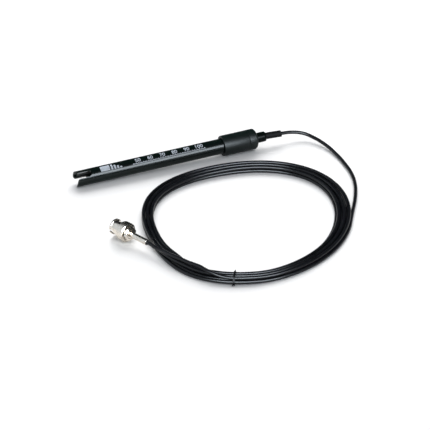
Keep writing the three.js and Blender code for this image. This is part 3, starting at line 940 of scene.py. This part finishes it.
class ELECTRODE_OT_print(bpy.types.Operator):
    """Prints a plain block, four falling bars and an immersion scale on the shaft"""

    bl_idname = "electrode.print"
    bl_label = "Printed scale"

    BAND_TURN = 115
    BARS = ((19.4, 7.4, 2.3), (27.8, 1.5, 2.3), (30.2, 1.5, 1.2), (32.6, 1.5, 0.1),
            (35.0, 1.5, -1.0))
    LOW = -2.3
    FIRST = 50
    LAST = 100
    LINE = 0.35
    TICK = (0.5, 0.9)
    LONG_TICK = (0.6, 1.3)
    FIGURES = 4.6
    FIGURES_FOOT = -0.85
    FIGURES_BOLD = 0.06
    BANDS = 8                # cuts either side of the band's middle, so that it bends
    BAND_WIDTH = 0.3
    LIFT = 0.03
    THICKNESS = 0.03

    def execute(self, context):
        marks = [self.block(start, length, self.LOW, high) for start, length, high in self.BARS]
        marks.append(self.block(self.FIRST - 5, self.LAST - self.FIRST + 10,
                                self.LOW, self.LOW + self.LINE))
        marks += [self.tick(place, *self.TICK)
                  for place in range(self.FIRST - 4, self.LAST + 5, 2)]
        for place in range(self.FIRST, self.LAST + 1, 10):
            marks.append(self.tick(place, *self.LONG_TICK))
            marks.append(self.numeral(str(place), place))
        printed = joined("printed_scale", marks)
        cleaned(printed)
        self.wrap(printed)
        add_modifier(printed, "SOLIDIFY", thickness=self.THICKNESS * MM, offset=1)
        smooth(printed, 30)
        settled(printed, ON_PROBE, "ink", "electrode", "white_plastic")
        return made()

    def block(self, start, length, low, high):
        bare()
        bpy.ops.mesh.primitive_plane_add(
            size=1, location=((start + length / 2) * MM, (low + high) / 2 * MM, 0))
        mark = bpy.context.object
        mark.scale = (length * MM, (high - low) * MM, 1)
        return applied()

    def tick(self, place, width, height):
        return self.block(place - width / 2, width, self.LOW, self.LOW + height)

    def numeral(self, figures, middle):
        bare()
        bpy.ops.object.text_add(location=(middle * MM, self.FIGURES_FOOT * MM, 0))
        text = bpy.context.object
        text.data.body = figures
        text.data.size = self.FIGURES * MM
        text.data.offset = self.FIGURES_BOLD * MM
        text.data.align_x = "CENTER"
        text.data.resolution_u = 4
        bpy.ops.object.convert(target="MESH")
        mark = applied()
        mark.data.materials.clear()
        return mark

    def wrap(self, printed):
        """Cuts the flat print into narrow bands and lays them round the shaft."""
        only(printed)
        bpy.ops.object.mode_set(mode="EDIT")
        for i in range(-self.BANDS, self.BANDS + 1):
            bpy.ops.mesh.select_all(action="SELECT")
            bpy.ops.mesh.bisect(
                plane_co=(0, self.BAND_WIDTH * i * MM, 0), plane_no=(0, 1, 0))
        bpy.ops.object.mode_set(mode="OBJECT")
        radius = bpy.context.scene.electrode_probe.shaft_radius + self.LIFT * MM
        for vertex in printed.data.vertices:
            turn = math.radians(self.BAND_TURN) - vertex.co.y / radius
            vertex.co = Vector(
                (vertex.co.x, radius * math.cos(turn), radius * math.sin(turn)))


class ELECTRODE_OT_cable(bpy.types.Operator):
    """Lays the whole lead on one curve, from the strain relief through the coil to the plug"""

    bl_idname = "electrode.cable"
    bl_label = "Cable"

    def execute(self, context):
        bare()
        route = cable_route()
        bpy.ops.curve.primitive_bezier_curve_add()
        cable = applied()
        cable.name = "cable"
        curve = cable.data
        curve.splines.clear()
        spline = curve.splines.new("BEZIER")
        spline.bezier_points.add(len(route) - 1)
        for point, place in zip(spline.bezier_points, route):
            point.co = place
            point.handle_left_type = "AUTO"
            point.handle_right_type = "AUTO"
        curve.dimensions = "3D"
        curve.resolution_u = 5
        curve.bevel_depth = CABLE_RADIUS * MM
        curve.bevel_resolution = context.scene.electrode_cable.sides
        curve.use_fill_caps = True
        curve.materials.append(finishes()["jacket"])
        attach(cable, "electrode")
        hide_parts("cable_lead", "cable_coil", "cable_tail")
        return made()


class ELECTRODE_OT_tie(bpy.types.Operator):
    """Binds the coil with a thin tie whose short ends stand out from it"""

    bl_idname = "electrode.tie"
    bl_label = "Cable tie"

    def execute(self, context):
        steps = 60
        bare()
        bpy.ops.mesh.primitive_circle_add(vertices=steps, radius=MM)
        band = bpy.context.object
        for vertex, place in zip(band.data.vertices, tie_outline(steps, 0.08)):
            vertex.co = Vector((place.x, -0.7, place.y)) * MM
        bpy.ops.object.mode_set(mode="EDIT")
        bpy.ops.mesh.select_all(action="SELECT")
        for _ in range(4):
            bpy.ops.mesh.extrude_region_move(
                TRANSFORM_OT_translate={"value": (0, 0.35 * MM, 0)})
        bpy.ops.object.mode_set(mode="OBJECT")
        cleaned(band)
        add_modifier(band, "SOLIDIFY", thickness=0.5 * MM, offset=1)
        softened(band, 0.12)
        outline = tie_outline(4, 0.3)
        outer_foot = Vector((outline[0].x + 0.1, 0, 1.6))
        inner_top = max(tie_outline(steps, 0.3), key=lambda place: place.y - 0.9 * place.x)
        pieces = [band]
        for lean, length in ((-0.45, 2.0), (0.5, 1.7)):
            pieces.append(self.tail(outer_foot, Vector((0.75, lean, -0.35)), length))
        knot = Vector((inner_top.x, 0, inner_top.y))
        pieces.append(self.tail(knot, Vector((-0.5, 0.15, 0.85)), 1.2))
        tie = joined("tie", pieces)
        smooth(tie, 40)
        settled(tie, at_tie(), "tie", "electrode", "tie_plastic", "cable_tie")
        return made()

    def tail(self, foot, leaning, length):
        """A short flattened end of the tie, rounded at its edges."""
        bare()
        bpy.ops.mesh.primitive_cylinder_add(
            vertices=12, radius=0.42 * MM, depth=length * MM,
            location=(0, 0, length / 2 * MM))
        end = applied()
        bpy.ops.object.mode_set(mode="EDIT")
        bpy.ops.mesh.select_all(action="SELECT")
        bpy.ops.transform.resize(value=(1, 0.7, 1), center_override=(0, 0, 0))
        bpy.ops.object.mode_set(mode="OBJECT")
        softened(end, 0.12)
        end.data.transform(
            Matrix.Translation(foot * MM) @ leaning.to_track_quat("Z", "Y").to_matrix().to_4x4())
        return end


class ELECTRODE_OT_plug_rear(bpy.types.Operator):
    """Turns the crimped ferrule and the hexagon nut behind the coupling ring"""

    bl_idname = "electrode.plug_rear"
    bl_label = "Ferrule and nut"

    def execute(self, context):
        self.add_ferrule()
        self.add_nut()
        return made()

    def add_ferrule(self):
        """A thin tube, squeezed to six flats where it is crimped."""
        radius, bore = 2.2, 1.7
        stations = [0, 0.5, 2.6, 3.2, 3.8] + [4.2 + 0.8 * i for i in range(10)] + [12.2, 13, 16]
        outer = [(along, radius) for along in stations]
        ferrule = spun(
            "ferrule", rounded(outer + [(16, bore), (0, bore)],
                               {0: 0.12, len(outer) - 1: 0.15}), 96)
        flat = radius * math.cos(math.pi / 6) + 0.1
        for vertex in ferrule.data.vertices:
            along = vertex.co.x / MM
            out = out_from_axis(vertex)
            if out < 1.95 or not 2.6 < along < 12.4:
                continue
            squeezed = min(out, hexagon_reach(vertex, flat))
            held = eased(along, 3.0, 3.9) * (1 - eased(along, 11.3, 12.2))
            pressed(vertex, (out + (squeezed - out) * held) / out)
        smooth(ferrule, 28)
        settled(ferrule, ON_PLUG, "nickel", "electrode", "nickel", "crimp_ferrule")

    def add_nut(self):
        """A hexagon turned down at its corners, with a bore and a raised washer face."""
        corner, flat = 5.9, 5.1
        corners = [(16.5, 3.6), (16.5, 4.9), (16.85, flat), (17.25, corner), (18.4, corner),
                   (18.75, flat + 0.1), (18.9, 4.9), (18.9, 3.6)]
        blank = spun("nut", corners, 120)
        for vertex in blank.data.vertices:
            out = out_from_axis(vertex)
            if out >= 4.95:
                pressed(vertex, min(out, hexagon_reach(vertex, flat)) / out)
        smooth(blank, 20)
        settled(blank, ON_PLUG, "nickel", "electrode", "nickel", "clamp_nut")


class ELECTRODE_OT_plug_front(bpy.types.Operator):
    """Turns the slit contact, the insulator, the pin and the gasket inside the plug"""

    bl_idname = "electrode.plug_front"
    bl_label = "Plug contacts"

    SLIT = (6, 12, 0.5)      # along the plug, across it, and wide
    SLIT_AT = 31.4

    def execute(self, context):
        contact = spun("contact", rounded(
            [(26.2, 3.55), (26.2, 4.05), (32.4, 4.05), (32.4, 3.55)],
            {1: 0.08, 2: 0.22, 3: 0.12}), 96)
        slits = []
        for i in range(2):
            bare()
            bpy.ops.mesh.primitive_cube_add(size=1, location=(self.SLIT_AT * MM, 0, 0))
            bpy.context.object.scale = Vector(self.SLIT) * MM
            slit = applied()
            slit.data.transform(Matrix.Rotation(math.radians(45 + 90 * i), 4, "X"))
            slits.append(slit)
        carved(contact, *slits)
        smooth(contact)
        settled(contact, ON_PLUG, "nickel", "electrode", "nickel", "outer_contact")
        turned = (
            ("dielectric", [(19.3, 0.95), (19.3, 2.1), (26.2, 2.1), (26.2, 3.3), (27.6, 3.3),
                            (27.6, 0.95)], {4: 0.2, 5: 0.15}, "white", "white_plastic",
             "insulator"),
            ("pin", [(14, 0), (14, 0.55), (30.6, 0.65), (31.7, 0.42), (32, 0.15), (32, 0)],
             {2: 0.5, 3: 0.2, 4: 0.1}, "brass", "brass", "centre_pin"),
            ("gasket", [(26.1, 4.2), (26.1, 4.7), (26.9, 4.7), (26.9, 4.2)], 0.2,
             "gasket", "soft_rubber", "mating_gasket"))
        for name, corners, size, finish, slot, node in turned:
            piece = spun(name, rounded(corners, size, 4), 64)
            smooth(piece)
            settled(piece, ON_PLUG, finish, "electrode", slot, node)
        return made()


class ELECTRODE_OT_coupling(bpy.types.Operator):
    """Turns the coupling sleeve, cuts its two bayonet slots and knurls its ring"""

    bl_idname = "electrode.coupling"
    bl_label = "Coupling sleeve"

    RING = 7.25
    BARREL = 5.5
    BORE = 4.95
    RING_FROM = 19.3
    RING_TO = 25.2
    SIDES = 264
    FLANK = 0.55             # share of a diamond that its grooves' flanks take
    SLOT_RADIUS = 1.1
    SLOT_ENTRY = -9
    SLOT_SWEEP = 75

    def execute(self, context):
        settings = context.scene.electrode_plug
        sleeve = self.barrel()
        carved(sleeve, *[self.slot_cutter(side) for side in (0, 1)])
        ring = self.ring()
        self.knurl(ring, settings.knurls, settings.knurl_depth / MM)
        coupling = joined("coupling_ring", [sleeve, ring])
        smooth(coupling, 34)
        settled(coupling, ON_PLUG, "nickel", "coupling", "nickel",
                "coupling_sleeve")
        return made()

    def barrel(self):
        corners = [(21, 3.6), (21, 6.4), (24.9, 6.4), (24.9, self.BARREL), (32.2, self.BARREL),
                   (32.2, 5.95), (33.5, 5.95), (33.5, self.BORE), (22.2, self.BORE),
                   (22.2, 3.6)]
        size = {3: 0.3, 4: 0.2, 5: 0.12, 6: 0.25, 7: 0.2}
        return spun("barrel", rounded(corners, size), 120)

    def ring(self):
        front = [(self.RING_TO - 0.45, self.RING), (self.RING_TO, self.RING - 0.45),
                 (self.RING_TO, 6.3), (21.3, 6.3), (21.3, 5.75), (self.RING_FROM, 5.75),
                 (self.RING_FROM, self.RING - 0.45), (self.RING_FROM + 0.45, self.RING)]
        rows = 22
        start, end = self.RING_FROM + 0.45, self.RING_TO - 0.45
        face = [(start + (end - start) * i / rows, self.RING) for i in range(1, rows)]
        return spun("ring", front + face, self.SIDES)

    def knurl(self, ring, count, depth):
        """Presses two crossing sets of grooves into the ring's outer face."""
        for vertex in ring.data.vertices:
            out = out_from_axis(vertex)
            if out < self.RING - 0.02:
                continue
            turn = math.atan2(vertex.co.z, vertex.co.y) * count / 2
            along = (vertex.co.x / MM) * count / (2 * self.RING)
            ridge = min(abs(math.sin(turn + along)), abs(math.sin(turn - along)))
            pressed(vertex, (out - depth * (1 - min(ridge / self.FLANK, 1))) / out)

    def slot_cutter(self, side):
        """A round cutter drawn straight in from the rim, then round to its catch."""
        wall = (self.BARREL + self.BORE) / 2
        entry = math.radians(self.SLOT_ENTRY + 180 * side)
        sweep = math.radians(self.SLOT_SWEEP)
        places = [(36, 0), (33.5, 0), (32.2, 0), (31.6, 0.02)]
        steps = 14
        places += [(31.3 - 3.0 * i / steps, i / steps) for i in range(1, steps + 1)]
        tools = []
        for along, share in places:
            turn = entry - sweep * share
            tools.append(Vector((along, wall * math.cos(turn), wall * math.sin(turn))) * MM)
        bare()
        bpy.ops.curve.primitive_bezier_curve_add()
        cutter = bpy.context.object
        cutter.data.splines.clear()
        spline = cutter.data.splines.new("POLY")
        spline.points.add(len(tools) - 1)
        for point, place in zip(spline.points, tools):
            point.co = (*place, 1)
        cutter.data.dimensions = "3D"
        cutter.data.bevel_depth = self.SLOT_RADIUS * MM
        cutter.data.bevel_resolution = 5
        cutter.data.use_fill_caps = True
        bpy.ops.object.convert(target="MESH")
        return cleaned(bpy.context.object)


class ELECTRODE_OT_carried(bpy.types.Operator):
    """Gives the pieces that keep their CAD shape their own finishes"""

    bl_idname = "electrode.carried"
    bl_label = "Inner pieces"

    CARRIED = {
        "electrode_lead_far": "copper", "electrode_lead_near": "copper",
        "solder_sleeve_far": "white", "solder_sleeve_near": "white",
        "potting_plug": "resin", "inner_cable": "jacket", "collar_o_ring": "gasket",
        "gland_nut": "nut_brass", "cable_grommet": "gasket", "retaining_ring": "nickel",
        "thrust_washer": "nickel", "wave_washer": "nickel", "plug_body": "nickel",
    }

    def execute(self, context):
        for name, finish in self.CARRIED.items():
            node = frame["nodes"][name]
            for slot in node.material_slots:
                slot.material = finishes()[finish]
        return made()


class ELECTRODE_PT_panel(bpy.types.Panel):
    """The electrode's pieces, in the order they are made"""

    bl_idname = "ELECTRODE_PT_panel"
    bl_label = "Conductivity electrode"
    bl_space_type = "VIEW_3D"
    bl_region_type = "UI"
    bl_category = "Electrode"

    def draw(self, context):
        for group in ("electrode_stage", "electrode_probe", "electrode_cable",
                      "electrode_plug"):
            settings = getattr(context.scene, group)
            for name in settings.__annotations__:
                self.layout.prop(settings, name)
        for operator in OPERATORS:
            self.layout.operator(operator.bl_idname)


SETTINGS = {
    "electrode_stage": StageSettings,
    "electrode_probe": ProbeSettings,
    "electrode_cable": CableSettings,
    "electrode_plug": PlugSettings,
}
OPERATORS = (
    ELECTRODE_OT_stage, ELECTRODE_OT_cable, ELECTRODE_OT_shaft, ELECTRODE_OT_collar,
    ELECTRODE_OT_gland, ELECTRODE_OT_print, ELECTRODE_OT_tie, ELECTRODE_OT_plug_rear,
    ELECTRODE_OT_plug_front, ELECTRODE_OT_coupling, ELECTRODE_OT_carried,
)


def register():
    for cls in (*SETTINGS.values(), *OPERATORS, ELECTRODE_PT_panel):
        bpy.utils.register_class(cls)
    for name, cls in SETTINGS.items():
        setattr(bpy.types.Scene, name, PointerProperty(type=cls))


def unregister():
    for name in SETTINGS:
        delattr(bpy.types.Scene, name)
    for cls in reversed((*SETTINGS.values(), *OPERATORS, ELECTRODE_PT_panel)):
        bpy.utils.unregister_class(cls)


def main():
    register()
    for operator in OPERATORS:
        group, name = operator.bl_idname.split(".")
        getattr(getattr(bpy.ops, group), name)()


if __name__ == "__main__":
    main()
